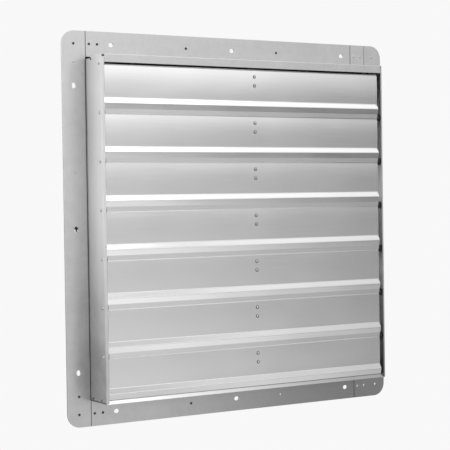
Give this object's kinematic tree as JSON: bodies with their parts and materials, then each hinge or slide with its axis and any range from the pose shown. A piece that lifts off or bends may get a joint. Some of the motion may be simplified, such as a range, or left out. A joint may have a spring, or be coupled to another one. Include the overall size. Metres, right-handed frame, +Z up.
{
  "type": "shutter exhaust fan",
  "caption": "Square wall exhaust fan with a mill aluminium louvered shutter, drilled mounting flange, and a guarded motor and fan wheel behind it.",
  "frame": {"origin": "centre of the mounting flange's front face, which lies against the wall", "axes": "front, where the shutter opens, towards -Y; +Z up; +X right seen from the front"},
  "size_m": [0.718, 0.2765, 0.718],
  "materials": {
    "mill_aluminium": "mill finish sheet, faint rolling grain",
    "louver_aluminium": "mill finish sheet, soft satin",
    "rivet_aluminium": "blind rivet",
    "bracket_steel": "zinc plated",
    "pin_steel": "zinc plated",
    "black_nylon": "moulded black nylon",
    "panel_steel": "galvanised sheet",
    "zinc_steel": "zinc plated",
    "arm_paint": "satin black paint",
    "motor_paint": "satin grey paint",
    "bearing_steel": "ground steel",
    "lamination_steel": "stacked laminations",
    "shaft_steel": "turned steel",
    "hub_steel": "satin black paint",
    "fan_aluminium": "mill finish sheet",
    "guard_wire": "powder coated wire",
    "housing_paint": "dark powder coated sheet steel"
  },
  "bodies": {
    "frame": {"side_frame_left": "mill_aluminium", "side_frame_right": "mill_aluminium", "top_frame": "mill_aluminium", "bottom_frame": "mill_aluminium", "housing_left": "housing_paint", "housing_right": "housing_paint", "housing_top": "housing_paint", "housing_bottom": "housing_paint", "orifice_panel": "panel_steel", "flange_rivets": "rivet_aluminium", "pivot_pins": "pin_steel", "cord_clip": "black_nylon", "hex_bolts": "zinc_steel", "motor_arms": "arm_paint", "motor_shell": "motor_paint", "motor_front_cap": "motor_paint", "motor_rear_cap": "motor_paint", "motor_bearings": "bearing_steel", "motor_stator": "lamination_steel", "through_bolts": "zinc_steel", "junction_box": "motor_paint", "junction_box_cover": "motor_paint", "cable_gland": "black_nylon", "wire_guard": "guard_wire"},
    "louver_1": {"louver_blade_1": "louver_aluminium", "louver_bracket_1": "bracket_steel", "louver_rivets_1": "rivet_aluminium", "louver_bushings_1": "black_nylon"},
    "louver_2": {"louver_blade_2": "louver_aluminium", "louver_bracket_2": "bracket_steel", "louver_rivets_2": "rivet_aluminium", "louver_bushings_2": "black_nylon"},
    "louver_3": {"louver_blade_3": "louver_aluminium", "louver_bracket_3": "bracket_steel", "louver_rivets_3": "rivet_aluminium", "louver_bushings_3": "black_nylon"},
    "louver_4": {"louver_blade_4": "louver_aluminium", "louver_bracket_4": "bracket_steel", "louver_rivets_4": "rivet_aluminium", "louver_bushings_4": "black_nylon"},
    "louver_5": {"louver_blade_5": "louver_aluminium", "louver_bracket_5": "bracket_steel", "louver_rivets_5": "rivet_aluminium", "louver_bushings_5": "black_nylon"},
    "louver_6": {"louver_blade_6": "louver_aluminium", "louver_bracket_6": "bracket_steel", "louver_rivets_6": "rivet_aluminium", "louver_bushings_6": "black_nylon"},
    "louver_7": {"louver_blade_7": "louver_aluminium", "louver_bracket_7": "bracket_steel", "louver_rivets_7": "rivet_aluminium", "louver_bushings_7": "black_nylon"},
    "tie_bar": {"tie_bar": "bracket_steel", "tie_pins": "pin_steel"},
    "fan_wheel": {"motor_shaft": "shaft_steel", "fan_hub": "hub_steel", "fan_blade_1": "fan_aluminium", "fan_blade_2": "fan_aluminium", "fan_blade_3": "fan_aluminium", "fan_blade_rivets": "rivet_aluminium"}
  },
  "joints": [
    {"name": "louver_1_swing", "type": "hinge", "parent": "frame", "child": "louver_1", "pos_m": [0, -0.055, 0.296], "axis": [-1, 0, 0], "range_deg": [0, 70]},
    {"name": "louver_2_swing", "type": "hinge", "parent": "frame", "child": "louver_2", "pos_m": [0, -0.055, 0.2086], "axis": [-1, 0, 0], "range_deg": [0, 70]},
    {"name": "louver_3_swing", "type": "hinge", "parent": "frame", "child": "louver_3", "pos_m": [0, -0.055, 0.1212], "axis": [-1, 0, 0], "range_deg": [0, 70]},
    {"name": "louver_4_swing", "type": "hinge", "parent": "frame", "child": "louver_4", "pos_m": [0, -0.055, 0.0338], "axis": [-1, 0, 0], "range_deg": [0, 70]},
    {"name": "louver_5_swing", "type": "hinge", "parent": "frame", "child": "louver_5", "pos_m": [0, -0.055, -0.0536], "axis": [-1, 0, 0], "range_deg": [0, 70]},
    {"name": "louver_6_swing", "type": "hinge", "parent": "frame", "child": "louver_6", "pos_m": [0, -0.055, -0.141], "axis": [-1, 0, 0], "range_deg": [0, 70]},
    {"name": "louver_7_swing", "type": "hinge", "parent": "frame", "child": "louver_7", "pos_m": [0, -0.055, -0.2284], "axis": [-1, 0, 0], "range_deg": [0, 70]},
    {"name": "tie_bar_pivot", "type": "hinge", "parent": "louver_1", "child": "tie_bar", "pos_m": [0.0219, -0.031, 0.302], "axis": [-1, 0, 0], "range_deg": [-70, 0]},
    {"name": "fan_spin", "type": "hinge", "parent": "frame", "child": "fan_wheel", "pos_m": [0, 0.034, 0], "axis": [0, 1, 0], "continuous": true}
  ],
  "couplings": [
    {"joint": "louver_2_swing", "follows": "louver_1_swing", "ratio": 1},
    {"joint": "louver_3_swing", "follows": "louver_1_swing", "ratio": 1},
    {"joint": "louver_4_swing", "follows": "louver_1_swing", "ratio": 1},
    {"joint": "louver_5_swing", "follows": "louver_1_swing", "ratio": 1},
    {"joint": "louver_6_swing", "follows": "louver_1_swing", "ratio": 1},
    {"joint": "louver_7_swing", "follows": "louver_1_swing", "ratio": 1},
    {"joint": "tie_bar_pivot", "follows": "louver_1_swing", "ratio": -1}
  ]
}
